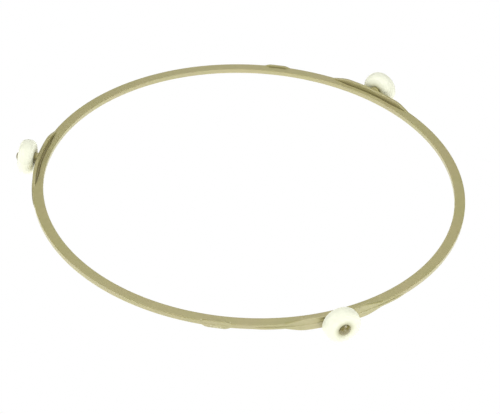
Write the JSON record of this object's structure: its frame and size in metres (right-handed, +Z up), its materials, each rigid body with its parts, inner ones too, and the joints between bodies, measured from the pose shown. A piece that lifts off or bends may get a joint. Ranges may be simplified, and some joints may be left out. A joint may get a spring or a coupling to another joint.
{
  "type": "microwave roller ring",
  "caption": "Flat moulded plastic ring with free-turning rollers on radial stub axles, carrying a microwave oven's glass tray as it turns.",
  "frame": {"origin": "on the ring's axis, at the level of the surface that the rollers run on", "axes": "+Z up along the ring's axis, -X along the axle of roller_2, with the gate pads at +Y and -Y"},
  "size_m": [0.1999, 0.1904, 0.016],
  "materials": {
    "ring_plastic": "olive-beige moulded plastic with a fine satin surface",
    "roller_plastic": "off-white moulded plastic with a smooth satin surface"
  },
  "bodies": {
    "ring": {"ring": "ring_plastic"},
    "roller_1": {"roller_1": "roller_plastic"},
    "roller_2": {"roller_2": "roller_plastic"},
    "roller_3": {"roller_3": "roller_plastic"}
  },
  "joints": [
    {"name": "roller_1_spin", "type": "hinge", "parent": "ring", "child": "roller_1", "pos_m": [0.0499, 0.08643, 0.008], "axis": [0.5, 0.866, 0], "continuous": true},
    {"name": "roller_2_spin", "type": "hinge", "parent": "ring", "child": "roller_2", "pos_m": [-0.0998, 0, 0.008], "axis": [-1, 0, 0], "continuous": true},
    {"name": "roller_3_spin", "type": "hinge", "parent": "ring", "child": "roller_3", "pos_m": [0.0499, -0.08643, 0.008], "axis": [0.5, -0.866, 0], "continuous": true}
  ]
}
